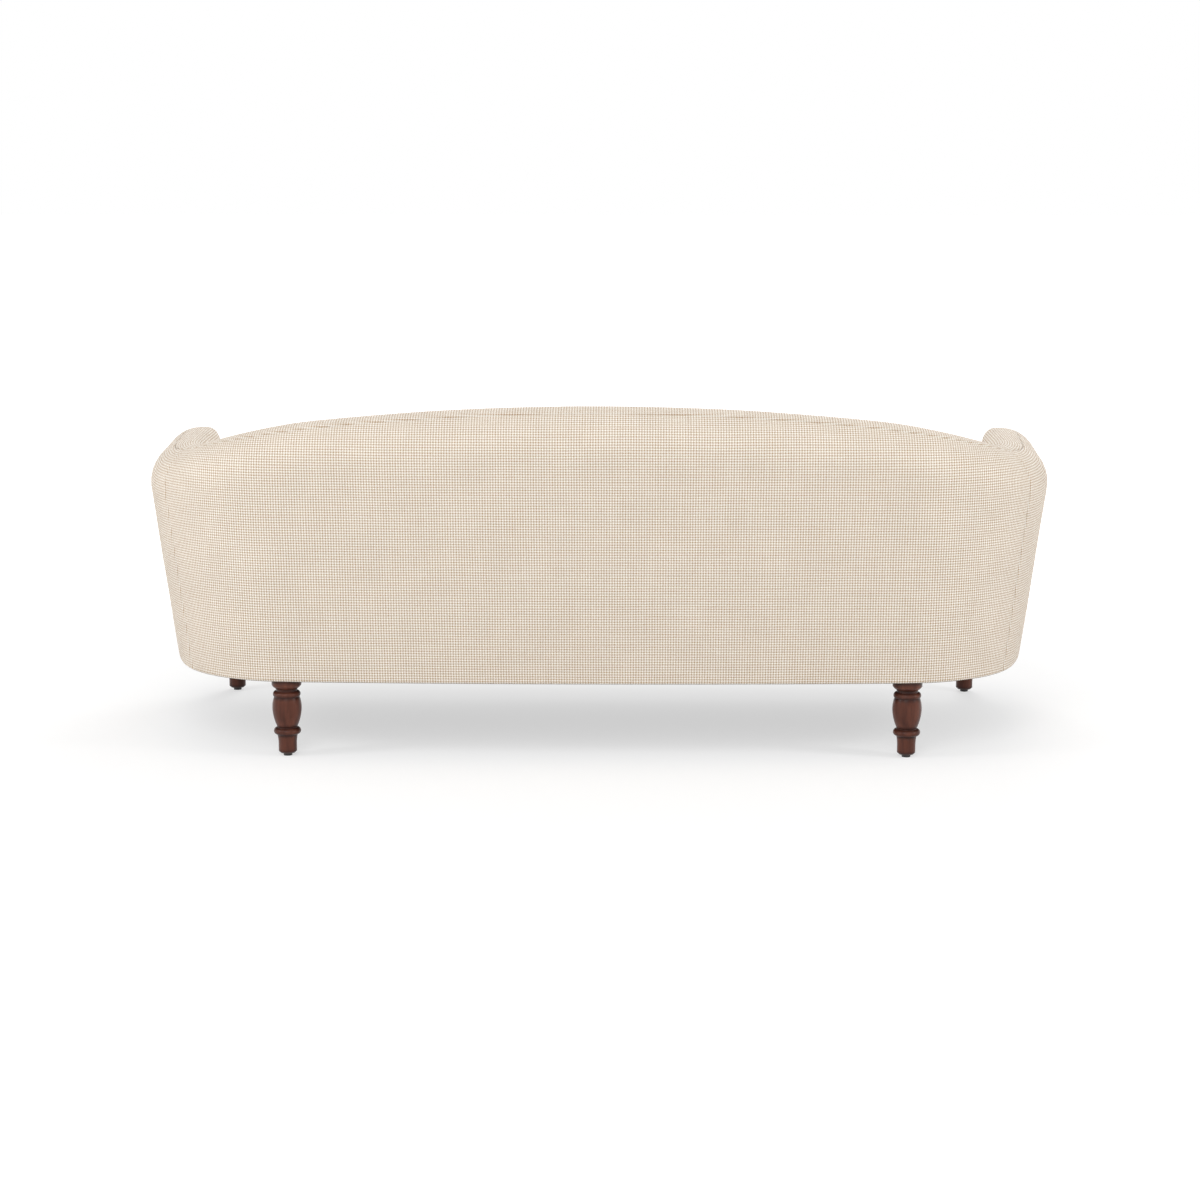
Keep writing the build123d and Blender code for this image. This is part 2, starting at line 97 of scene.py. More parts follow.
class Tree:
    """A thin writer for one shader node tree."""

    def __init__(self, tree: bpy.types.NodeTree) -> None:
        """Keep the tree that the methods write to."""
        self.tree = tree

    def node(self, kind: str, **settings: object) -> bpy.types.Node:
        """Add a node.

        Args:
            kind: Node type without its ShaderNode prefix.
            **settings: Attributes to set on the node.

        Returns:
            The new node.
        """
        made = self.tree.nodes.new("ShaderNode" + kind)
        for name, value in settings.items():
            setattr(made, name, value)
        return made

    def join(self, source: bpy.types.NodeSocket, target: bpy.types.NodeSocket) -> None:
        """Link an output to an input."""
        self.tree.links.new(source, target)

    def math(
        self, operation: str, first: object, second: object = None, third: object = None
    ) -> bpy.types.NodeSocket:
        """Add a Math node whose inputs are sockets or numbers.

        Args:
            operation: Name of the math operation.
            first: First input.
            second: Second input, where the operation has one.
            third: Third input, where the operation has one.

        Returns:
            The node's output socket.
        """
        made = self.node("Math", operation=operation)
        for place, value in enumerate((first, second, third)):
            if isinstance(value, bpy.types.NodeSocket):
                self.join(value, made.inputs[place])
            elif value is not None:
                made.inputs[place].default_value = value
        return made.outputs[0]

    def mix(self, factor: object, first: object, second: object) -> bpy.types.NodeSocket:
        """Add a colour mix whose inputs are sockets or colours.

        Args:
            factor: Share of the second colour.
            first: Colour at factor 0.
            second: Colour at factor 1.

        Returns:
            The mixed colour's socket.
        """
        made = self.node("Mix", data_type="RGBA")
        for place, value in ((0, factor), (6, first), (7, second)):
            if isinstance(value, bpy.types.NodeSocket):
                self.join(value, made.inputs[place])
            else:
                made.inputs[place].default_value = value
        return made.outputs[2]

    def noise(self, vector: bpy.types.NodeSocket, scale: float, detail: float) -> bpy.types.NodeSocket:
        """Noise value over a vector.

        Args:
            vector: Coordinates.
            scale: Cells per metre.
            detail: Octaves.

        Returns:
            The noise factor's socket.
        """
        made = self.node("TexNoise")
        socket_value(made, {"Scale": scale, "Detail": detail})
        self.join(vector, made.inputs["Vector"])
        return made.outputs[0]

    def stretch(self, vector: bpy.types.NodeSocket, scale: Colour) -> bpy.types.NodeSocket:
        """Scale coordinates by a different amount on each axis."""
        made = self.node("Mapping")
        made.inputs["Scale"].default_value = scale
        self.join(vector, made.inputs["Vector"])
        return made.outputs[0]


def new_group(name: str, inputs: dict[str, str], outputs: dict[str, str]) -> tuple[Tree, object, object]:
    """Start a shader node group.

    Args:
        name: Group name.
        inputs: Input name to socket type.
        outputs: Output name to socket type.

    Returns:
        The tree writer, the input node and the output node.
    """
    group = bpy.data.node_groups.new(name, "ShaderNodeTree")
    for direction, sockets in (("INPUT", inputs), ("OUTPUT", outputs)):
        for label, kind in sockets.items():
            group.interface.new_socket(label, in_out=direction, socket_type=kind)
    tree = Tree(group)
    return tree, group.nodes.new("NodeGroupInput"), group.nodes.new("NodeGroupOutput")


def weave_group(period: float, yarns: int) -> bpy.types.NodeTree:
    """Plain weave of two yarn colours that makes a small even check.

    Args:
        period: Size of one check in metres.
        yarns: Yarns in one check.

    Returns:
        Group with a Vector input in metres, and outputs Dark (share of the dark yarn) and Height.
    """
    tree, start, end = new_group(
        "check_weave",
        {"Vector": "NodeSocketVector"},
        {"Dark": "NodeSocketFloat", "Height": "NodeSocketFloat"},
    )
    wander = tree.node("TexNoise", noise_dimensions="3D")
    socket_value(wander, {"Scale": 4.0, "Detail": 1.0})
    tree.join(start.outputs["Vector"], wander.inputs["Vector"])
    drift = tree.node("VectorMath", operation="MULTIPLY_ADD")
    tree.join(wander.outputs["Color"], drift.inputs[0])
    drift.inputs[1].default_value = (period * 0.5, period * 0.5, 0.0)
    tree.join(start.outputs["Vector"], drift.inputs[2])
    axes = tree.node("SeparateXYZ")
    tree.join(drift.outputs[0], axes.inputs[0])
    stripes = []
    ridges = []
    counts = []
    across, along = 1.0 / period, 9.0
    slub_gain, slub_offset = 1.3, -0.40
    contrast = 1.5
    for axis, cells in (("X", (across, along, 1.0)), ("Y", (along, across, 1.0))):
        turns = tree.math("MULTIPLY", axes.outputs[axis], 2 * math.pi / period)
        wave = tree.math("SINE", turns)
        slub = tree.noise(tree.stretch(start.outputs["Vector"], cells), 1.0, 2.0)
        edge = tree.math("MULTIPLY_ADD", slub, slub_gain, slub_offset)
        stripe = tree.math("MULTIPLY_ADD", wave, contrast, edge)
        stripe.node.use_clamp = True
        stripes.append(stripe)
        yarn = tree.math("MULTIPLY", axes.outputs[axis], yarns / period)
        counts.append(tree.math("FLOOR", yarn))
        ridges.append(tree.math("SINE", tree.math("MULTIPLY", tree.math("FRACT", yarn), math.pi)))
    over = tree.math("MODULO", tree.math("ADD", counts[0], counts[1]), 2.0)
    over = tree.math("ABSOLUTE", over)
    values = []
    for pair in (stripes, ridges):
        under = tree.math("SUBTRACT", 1.0, over)
        first = tree.math("MULTIPLY", pair[0], over)
        values.append(tree.math("MULTIPLY_ADD", pair[1], under, first))
    tree.join(values[0], end.inputs["Dark"])
    tree.join(values[1], end.inputs["Height"])
    return tree.tree


def mottle_group() -> bpy.types.NodeTree:
    """Soft unevenness in two sizes.

    Returns:
        Group with inputs Vector and Scale, and outputs Broad and Fine, both about 0 to 1.
    """
    tree, start, end = new_group(
        "mottle",
        {"Vector": "NodeSocketVector", "Scale": "NodeSocketFloat"},
        {"Broad": "NodeSocketFloat", "Fine": "NodeSocketFloat"},
    )
    for label, factor, detail in (("Broad", 1.0, 3.0), ("Fine", 14.0, 4.0)):
        made = tree.node("TexNoise")
        made.inputs["Detail"].default_value = detail
        tree.join(start.outputs["Vector"], made.inputs["Vector"])
        tree.join(tree.math("MULTIPLY", start.outputs["Scale"], factor), made.inputs["Scale"])
        tree.join(made.outputs[0], end.inputs[label])
    return tree.tree


def glaze_group(grooves: tuple[float, ...], width: float) -> bpy.types.NodeTree:
    """Painted shade that darkens the turned grooves, where shade falls.

    Args:
        grooves: Heights of the grooves above the floor, in metres.
        width: Half width of the painted shade in metres.

    Returns:
        Group with a Vector input in metres and an output Stain, 1 in a groove and 0 away from it.
    """
    tree, start, end = new_group(
        "groove_glaze", {"Vector": "NodeSocketVector"}, {"Stain": "NodeSocketFloat"}
    )
    axes = tree.node("SeparateXYZ")
    tree.join(start.outputs["Vector"], axes.inputs[0])
    total = None
    for groove in grooves:
        away = tree.math("ABSOLUTE", tree.math("SUBTRACT", axes.outputs["Z"], groove))
        near = tree.math("MULTIPLY_ADD", away, -1.0 / width, 1.0)
        near.node.use_clamp = True
        total = near if total is None else tree.math("MAXIMUM", total, near)
    tree.join(total, end.inputs["Stain"])
    return tree.tree


def grain_group() -> bpy.types.NodeTree:
    """Wood grain that runs along Z.

    Returns:
        Group with a Vector input in metres, and outputs Figure (broad bands) and Pores (fine lines).
    """
    tree, start, end = new_group(
        "wood_grain",
        {"Vector": "NodeSocketVector"},
        {"Figure": "NodeSocketFloat", "Pores": "NodeSocketFloat"},
    )
    figure = tree.noise(tree.stretch(start.outputs["Vector"], (60.0, 60.0, 7.0)), 1.0, 3.0)
    pores = tree.noise(tree.stretch(start.outputs["Vector"], (900.0, 900.0, 45.0)), 1.0, 2.0)
    tree.join(figure, end.inputs["Figure"])
    tree.join(pores, end.inputs["Pores"])
    return tree.tree


@dataclass(frozen=True)
class Groups:
    """The shared shader groups."""

    weave: bpy.types.NodeTree
    mottle: bpy.types.NodeTree
    grain: bpy.types.NodeTree
    # Painted shade in the turned grooves of the legs.
    glaze: bpy.types.NodeTree


def blank_material(name: str) -> tuple[bpy.types.Material, Tree, bpy.types.Node]:
    """Start a material with a Principled shader.

    Args:
        name: Material name.

    Returns:
        The material, its tree writer and its Principled node.
    """
    material = bpy.data.materials.new(name)
    material.use_nodes = True
    material.node_tree.nodes.clear()
    tree = Tree(material.node_tree)
    shader = tree.node("BsdfPrincipled")
    out = tree.node("OutputMaterial")
    tree.join(shader.outputs[0], out.inputs["Surface"])
    return material, tree, shader


def add_group(tree: Tree, group: bpy.types.NodeTree, vector: bpy.types.NodeSocket) -> bpy.types.Node:
    """Place a shared group in a material.

    Args:
        tree: Material tree.
        group: Shared group.
        vector: Coordinates for its Vector input.

    Returns:
        The group node.
    """
    made = tree.node("Group", node_tree=group)
    tree.join(vector, made.inputs["Vector"])
    return made


def add_bump(
    tree: Tree, shader: bpy.types.Node, height: bpy.types.NodeSocket, strength: float, depth: float
) -> None:
    """Feed a height to a shader's normal through a Bump node.

    Args:
        tree: Material tree.
        shader: Shader that gets the normal.
        height: Height socket.
        strength: Bump strength.
        depth: Height in metres at value 1.
    """
    bump = tree.node("Bump")
    socket_value(bump, {"Strength": strength, "Distance": depth})
    tree.join(height, bump.inputs["Height"])
    tree.join(bump.outputs[0], shader.inputs["Normal"])


@dataclass(frozen=True)
class CheckCloth:
    """Cream and tan cloth in a small woven check, on the piece's UV map in metres, with painted shade along
    its seams.
    """

    name: str = "check_cloth"
    light: Colour = (0.945, 0.905, 0.83)
    dark: Colour = (0.49, 0.33, 0.195)
    roughness: float = 0.88
    sheen: float = 0.12
    specular: float = 0.2
    # Painted shade: how far the colour darkens along the seams, where shade falls in the crease.
    seam_shade: float = 0.13
    mottle_scale: float = 11.0
    yarn_depth: float = 0.00035

    def make(self, groups: Groups) -> bpy.types.Material:
        """Build the material.

        Args:
            groups: Shared shader groups.

        Returns:
            The material.
        """
        material, tree, shader = blank_material(self.name)
        uv = tree.node("UVMap", uv_map="cloth").outputs[0]
        weave = add_group(tree, groups.weave, uv)
        mottle = add_group(tree, groups.mottle, uv)
        mottle.inputs["Scale"].default_value = self.mottle_scale
        colour = tree.mix(weave.outputs["Dark"], rgba(self.light), rgba(self.dark))
        # Random tone from the mottle, times painted shade along the seams from the seam attribute.
        sewn = tree.node("Attribute", attribute_name=SEAM_SHADE_MASK).outputs["Fac"]
        shade = tree.math("MULTIPLY_ADD", mottle.outputs["Broad"], 0.1, 0.95)
        shade = tree.math("MULTIPLY", shade, tree.math("MULTIPLY_ADD", sewn, -self.seam_shade, 1.0))
        toned = tree.node("Mix", data_type="RGBA", blend_type="MULTIPLY")
        toned.inputs[0].default_value = 1.0
        tree.join(colour, toned.inputs[6])
        tree.join(shade, toned.inputs[7])
        tree.join(toned.outputs[2], shader.inputs["Base Color"])
        rough = tree.math("MULTIPLY_ADD", mottle.outputs["Fine"], 0.12, self.roughness - 0.06)
        tree.join(rough, shader.inputs["Roughness"])
        socket_value(shader, {"Sheen Weight": self.sheen, "Sheen Roughness": 0.5})
        shader.inputs["Specular IOR Level"].default_value = self.specular
        add_bump(tree, shader, weave.outputs["Height"], 0.5, self.yarn_depth)
        return material


@dataclass(frozen=True)
class TurnedWood:
    """Dark red-brown stained wood with a satin finish, its grain along Z, and painted shade in its turned
    grooves.
    """

    name: str = "leg_wood"
    light: Colour = (0.150, 0.049, 0.029)
    dark: Colour = (0.055, 0.017, 0.011)
    # Colour of the painted shade in the turned grooves.
    stain: Colour = (0.018, 0.006, 0.005)
    roughness: float = 0.34
    specular: float = 0.18
    mottle_scale: float = 22.0

    def make(self, groups: Groups) -> bpy.types.Material:
        """Build the material.

        Args:
            groups: Shared shader groups.

        Returns:
            The material.
        """
        material, tree, shader = blank_material(self.name)
        place = tree.node("TexCoord").outputs["Object"]
        grain = add_group(tree, groups.grain, place)
        mottle = add_group(tree, groups.mottle, place)
        mottle.inputs["Scale"].default_value = self.mottle_scale
        figure = tree.math("MULTIPLY_ADD", grain.outputs["Figure"], 2.2, -0.6)
        figure.node.use_clamp = True
        colour = tree.mix(figure, rgba(self.dark), rgba(self.light))
        pore = tree.math("MULTIPLY_ADD", grain.outputs["Pores"], -1.6, 0.95)
        pore.node.use_clamp = True
        deep = tree.mix(tree.math("MULTIPLY", pore, 0.5), colour, rgba(self.dark))
        # Painted shade: darkens the colour in the turned grooves.
        glaze = add_group(tree, groups.glaze, place)
        groove_shaded = tree.mix(tree.math("MULTIPLY", glaze.outputs["Stain"], 0.8), deep, rgba(self.stain))
        tree.join(groove_shaded, shader.inputs["Base Color"])
        rough = tree.math("MULTIPLY_ADD", mottle.outputs["Fine"], 0.18, self.roughness - 0.09)
        tree.join(rough, shader.inputs["Roughness"])
        shader.inputs["Specular IOR Level"].default_value = self.specular
        add_bump(tree, shader, grain.outputs["Pores"], 0.15, 0.0002)
        return material


@dataclass(frozen=True)
class Mottled:
    """A plain finish with soft unevenness in colour, gloss and surface."""

    name: str
    light: Colour
    dark: Colour
    roughness: float
    scale: float
    metallic: float = 0.0
    depth: float = 0.0003

    def make(self, groups: Groups) -> bpy.types.Material:
        """Build the material.

        Args:
            groups: Shared shader groups.

        Returns:
            The material.
        """
        material, tree, shader = blank_material(self.name)
        place = tree.node("TexCoord").outputs["Object"]
        mottle = add_group(tree, groups.mottle, place)
        mottle.inputs["Scale"].default_value = self.scale
        spread = tree.math("MULTIPLY_ADD", mottle.outputs["Broad"], 1.8, -0.4)
        spread.node.use_clamp = True
        tree.join(tree.mix(spread, rgba(self.dark), rgba(self.light)), shader.inputs["Base Color"])
        rough = tree.math("MULTIPLY_ADD", mottle.outputs["Fine"], 0.2, self.roughness - 0.1)
        tree.join(rough, shader.inputs["Roughness"])
        shader.inputs["Metallic"].default_value = self.metallic
        add_bump(tree, shader, mottle.outputs["Fine"], 0.3, self.depth)
        return material


# Shape of the padded wall, the same as in the frame


@dataclass(frozen=True)
class TubShape:
    """Outside line of the tub at its base, lean of its faces and line of its crest, in metres.

    The steps are the spans that draw each rounding of the crown, and the rounds are the passes that find
    where a leaning face meets the crest.
    """

    base_bottom: float = 0.178
    base_back_y: float = 0.386
    arm_front_y: float = -0.440
    back_half_run: float = 0.706
    back_radius: float = 14.0
    corner_radius: float = 0.304
    corner_end: float = math.radians(72.0)
    side_radius: float = 1.000
    side_end: float = math.radians(84.0)
    outer_slope: float = math.tan(math.radians(7.4))
    inner_slope: float = math.tan(math.radians(9.5))
    thickness: float = 0.165
    outer_rounding: float = 0.090
    inner_rounding: float = 0.036
    outer_steps: int = 20
    inner_steps: int = 10
    crest_rounds: int = 12
    back_height: float = 0.808
    arm_height: float = 0.668
    crest_radius: float = 5.800
    crest_turn: float = math.radians(6.3)
    shoulder_radius: float = 1.120
    shoulder_turn: float = math.radians(12.7)
    hollow_radius: float = 0.150

    @property
    def back_turn(self) -> float:
        """Angle of the outward normal where the corner starts."""
        return math.asin(self.back_half_run / self.back_radius)

    @property
    def lengths(self) -> tuple[float, float, float]:
        """Path lengths from the middle of the back to the ends of the three arcs."""
        back = self.back_radius * self.back_turn
        corner = back + self.corner_radius * (self.corner_end - self.back_turn)
        return back, corner, corner + self.side_radius * (self.side_end - self.corner_end)

    def turn(self, along: float) -> float:
        """Angle of the outward normal from the middle of the back.

        Args:
            along: Path length from the middle of the back, negative on the left.

        Returns:
            Angle in radians, negative on the left.
        """
        back, corner, side = self.lengths
        way = abs(along)
        angle = min(way, back) / self.back_radius
        angle += (min(max(way, back), corner) - back) / self.corner_radius
        angle += (min(max(way, corner), side) - corner) / self.side_radius
        return math.copysign(angle, along)

    def station(self, along: float) -> tuple[Vector, Vector]:
        """Point of the base line and its outward normal.

        Args:
            along: Path length from the middle of the back, negative on the left.

        Returns:
            The point and the normal, both level.
        """
        back, corner, side = self.lengths
        way = abs(along)
        centre = Vector((0.0, self.base_back_y - self.back_radius, 0.0))
        radius = self.back_radius
        for start, angle, next_radius in (
            (back, self.back_turn, self.corner_radius),
            (corner, self.corner_end, self.side_radius),
        ):
            if way > start:
                centre = centre + Vector((math.sin(angle), math.cos(angle), 0.0)) * (radius - next_radius)
                radius = next_radius
        angle = self.turn(way)
        normal = Vector((math.sin(angle), math.cos(angle), 0.0))
        point = centre + normal * radius
        if way > side:
            point += Vector((math.cos(angle), -math.sin(angle), 0.0)) * (way - side)
        if along < 0:
            point.x = -point.x
            normal.x = -normal.x
        return point, normal

    def along_at_angle(self, angle: float) -> float:
        """Path length where the outward normal of the corner has turned by an angle."""
        back = self.lengths[0]
        return back + self.corner_radius * (angle - self.back_turn)

    def along_at_front(self, front_y: float, outward: float) -> float:
        """Path length where a line moved outwards meets a level front plane.

        Args:
            front_y: Y of the plane.
            outward: Distance of the line from the base line.

        Returns:
            Path length on the right half.
        """
        side = self.lengths[2]
        point, normal = self.station(side)
        return side + (point.y + normal.y * outward - front_y) / math.sin(self.side_end)

    def crest(self, x: float) -> float:
        """Height of the crest at a distance from the middle.

        Args:
            x: Distance from the middle, either sign.

        Returns:
            Height above the floor.
        """
        x = abs(x)
        fall = self.crest_turn + self.shoulder_turn
        crown_x = self.crest_radius * math.sin(self.crest_turn)
        crown_z = self.back_height - self.crest_radius * (1 - math.cos(self.crest_turn))
        if x <= crown_x:
            return self.back_height - self.crest_radius + math.sqrt(self.crest_radius**2 - x**2)
        start = math.sin(self.crest_turn)
        shoulder_x = crown_x + self.shoulder_radius * (math.sin(fall) - start)
        shoulder_z = crown_z - self.shoulder_radius * (math.cos(self.crest_turn) - math.cos(fall))
        if x <= shoulder_x:
            turn = math.asin(start + (x - crown_x) / self.shoulder_radius)
            return crown_z - self.shoulder_radius * (math.cos(self.crest_turn) - math.cos(turn))
        hollow_z = self.arm_height + self.hollow_radius * (1 - math.cos(fall))
        slant_x = shoulder_x + (shoulder_z - hollow_z) / math.tan(fall)
        if x <= slant_x:
            return shoulder_z - (x - shoulder_x) * math.tan(fall)
        rest = slant_x + self.hollow_radius * math.sin(fall) - x
        if rest <= 0:
            return self.arm_height
        return self.arm_height + self.hollow_radius - math.sqrt(self.hollow_radius**2 - rest**2)

    def outer(self, z: float) -> float:
        """Outward distance of the outer face from the base line at a height."""
        return self.outer_slope * (z - self.base_bottom)

    def inner(self, z: float) -> float:
        """Outward distance of the inner face from the base line at a height."""
        return self.inner_slope * (z - self.base_bottom) - self.thickness


@dataclass
class Section:
    """Cross section of the wall from the foot of its outer face, over the crown, down the inner face."""

    points: list[Vector]
    lengths: list[float] = field(default_factory=list)

    def __post_init__(self) -> None:
        """Measure the running length along the points."""
        total = 0.0
        self.lengths = [0.0]
        for first, second in zip(self.points, self.points[1:]):
            total += (second - first).length
            self.lengths.append(total)

    def at(self, length: float) -> tuple[Vector, Vector]:
        """Point and outward normal at a running length.

        Args:
            length: Running length, held to the section's ends.

        Returns:
            The point as (outward, height) and the normal in the same plane.
        """
        length = min(max(length, 0.0), self.lengths[-1])
        place = 1
        while self.lengths[place] < length and place < len(self.lengths) - 1:
            place += 1
        first, second = self.points[place - 1], self.points[place]
        step = (second - first).normalized()
        share = (length - self.lengths[place - 1]) / (self.lengths[place] - self.lengths[place - 1])
        return first.lerp(second, share), Vector((step.y, -step.x))


def round_corner(corner: Vector, before: Vector, after: Vector, radius: float, steps: int) -> list[Vector]:
    """Points of an arc that rounds a corner.

    Args:
        corner: The sharp corner.
        before: A point on the line that comes in.
        after: A point on the line that goes out.
        radius: Radius of the arc.
        steps: Spans along the arc.

    Returns:
        The arc's points, in order.
    """
    back = (before - corner).normalized()
    ahead = (after - corner).normalized()
    half = back.angle(ahead) / 2
    centre = corner + (back + ahead).normalized() * (radius / math.sin(half))
    start = corner + back * (radius / math.tan(half)) - centre
    end = corner + ahead * (radius / math.tan(half)) - centre
    sweep = start.angle_signed(end)
    points = []
    for step in range(steps + 1):
        turn = -sweep * step / steps
        cos, sin = math.cos(turn), math.sin(turn)
        points.append(centre + Vector((start.x * cos - start.y * sin, start.x * sin + start.y * cos)))
    return points


def wall_section(shape: TubShape, along: float, inner_bottom: float) -> Section:
    """Cross section of the wall at a place on its path.

    Args:
        shape: Shape of the tub.
        along: Path length of the section.
        inner_bottom: Height where the inner face ends.

    Returns:
        The section.
    """
    point, normal = shape.station(along)
    corners = []
    for face in (shape.outer, shape.inner):
        z = shape.arm_height
        for _ in range(shape.crest_rounds):
            z = shape.crest(point.x + normal.x * face(z))
        corners.append(Vector((face(z), z)))
    foot = Vector((0.0, shape.base_bottom))
    end = Vector((shape.inner(inner_bottom), inner_bottom))
    outer_arc = round_corner(corners[0], foot, corners[1], shape.outer_rounding, shape.outer_steps)
    inner_arc = round_corner(corners[1], corners[0], end, shape.inner_rounding, shape.inner_steps)
    return Section([foot, *outer_arc, *inner_arc, end])


def seam_length(section: Section, drop: float) -> float:
    """Running length of the crown seam, a drop below the section's top.

    Args:
        section: The section.
        drop: Distance below the highest point.

    Returns:
        Running length on the outer side.
    """
    top = max(point.y for point in section.points)
    for place, point in enumerate(section.points[1:], 1):
        if point.y >= top - drop:
            before = section.points[place - 1]
            share = (top - drop - before.y) / (point.y - before.y)
            return section.lengths[place - 1] + share * (point - before).length
    return section.lengths[-1]


# Sheets of cloth made from a grid


def steps_between(start: float, end: float, spacing: float, edge: tuple[float, ...]) -> list[float]:
    """Sample places that crowd together towards both ends.

    Args:
        start: First place.
        end: Last place.
        spacing: Distance between places away from the ends.
        edge: Distances from each end of the crowded places.

    Returns:
        The places in order.
    """
    low, high = start + edge[-1], end - edge[-1]
    count = max(2, math.ceil((high - low) / spacing))
    middle = [low + (high - low) * step / count for step in range(count + 1)]
    ends = edge[:-1]
    return [start + d for d in ends] + middle + [end - d for d in reversed(ends)]


def deselect() -> None:
    """Leave nothing selected and no object in edit mode."""
    if bpy.context.object and bpy.context.object.mode != "OBJECT":
        bpy.ops.object.mode_set(mode="OBJECT")
    bpy.ops.object.select_all(action="DESELECT")


def add_grid(name: str, columns: int, rows: int) -> bpy.types.Object:
    """Add a flat unit grid.

    Args:
        name: Object name.
        columns: Vertices along X.
        rows: Vertices along Y.

    Returns:
        The grid object, active and selected alone.
    """
    deselect()
    bpy.ops.mesh.primitive_grid_add(x_subdivisions=columns - 1, y_subdivisions=rows - 1, size=1.0)
    made = bpy.context.object
    made.name = name
    made.data.name = name
    return made


def apply_modifier(piece: bpy.types.Object, kind: str, **settings: object) -> None:
    """Add a modifier, set it and apply it.

    Args:
        piece: Object to change.
        kind: Modifier type.
        **settings: Modifier attributes.
    """
    deselect()
    bpy.context.view_layer.objects.active = piece
    piece.select_set(True)
    bpy.ops.object.modifier_add(type=kind)
    modifier = piece.modifiers[-1]
    for name, value in settings.items():
        setattr(modifier, name, value)
    bpy.ops.object.modifier_apply(modifier=modifier.name)


def cloth_map(
    piece: bpy.types.Object, place: Callable[[bpy.types.MeshLoop, bpy.types.MeshPolygon], Flat]
) -> None:
    """Write the UV map that the weave follows, in metres.

    Args:
        piece: Mesh object.
        place: Gives the map position of a face corner.
    """
    mesh = piece.data
    while mesh.uv_layers:
        mesh.uv_layers.remove(mesh.uv_layers[0])
    layer = mesh.uv_layers.new(name="cloth")
    for face in mesh.polygons:
        for corner in face.loop_indices:
            layer.data[corner].uv = place(mesh.loops[corner], face)


def mark_sewn(piece: bpy.types.Object, shares: list[float]) -> None:
    """Store how near each vertex lies to a sewn edge, the mask of the painted shade along the seams.

    Args:
        piece: Mesh object.
        shares: One value for each vertex, 1 on the seam and 0 away from it.
    """
    layer = piece.data.attributes.new(SEAM_SHADE_MASK, "FLOAT", "POINT")
    layer.data.foreach_set("value", shares)


def face_along(piece: bpy.types.Object, outward: Vector) -> None:
    """Turn a sheet's faces so that its middle face looks the given way.

    Args:
        piece: Mesh object of one sheet.
        outward: Direction that the middle face looks in.
    """
    middle = piece.data.polygons[len(piece.data.polygons) // 2]
    if middle.normal.dot(outward) < 0:
        piece.data.flip_normals()


def smooth(piece: bpy.types.Object, degrees: float) -> None:
    """Shade a piece smooth up to an angle."""
    deselect()
    bpy.context.view_layer.objects.active = piece
    piece.select_set(True)
    bpy.ops.object.shade_smooth_by_angle(angle=math.radians(degrees))


def make_sheet(
    name: str,
    columns: int,
    rows: int,
    place: Callable[[int, int], Spot],
    outward: Vector,
    thickness: float,
) -> bpy.types.Object:
    """Make a shaped sheet of cloth with a real thickness.

    Args:
        name: Object name.
        columns: Vertices along the first direction.
        rows: Vertices along the second direction.
        place: Gives position, map position and the share of painted seam shade for a column and row.
        outward: Direction that the middle of the sheet looks in.
        thickness: Cloth thickness, added inwards.

    Returns:
        The finished sheet.
    """
    sheet = add_grid(name, columns, rows)
    spots: list[Flat] = []
    shares: list[float] = []
    for vertex in sheet.data.vertices:
        column = round((vertex.co.x + 0.5) * (columns - 1))
        row = round((vertex.co.y + 0.5) * (rows - 1))
        position, flat, share = place(column, row)
        vertex.co = position
        spots.append(flat)
        shares.append(share)
    cloth_map(sheet, lambda corner, _: spots[corner.vertex_index])
    mark_sewn(sheet, shares)
    sheet.data.update()
    face_along(sheet, outward)
    apply_modifier(sheet, "SOLIDIFY", thickness=thickness, offset=-1.0, use_even_offset=True)
    smooth(sheet, 50.0)
    return sheet


def crease(distance: float, width: float, depth: float) -> float:
    """Depth of a sewn edge at a distance from it."""
    return depth * max(0.0, 1.0 - distance / width) ** 2


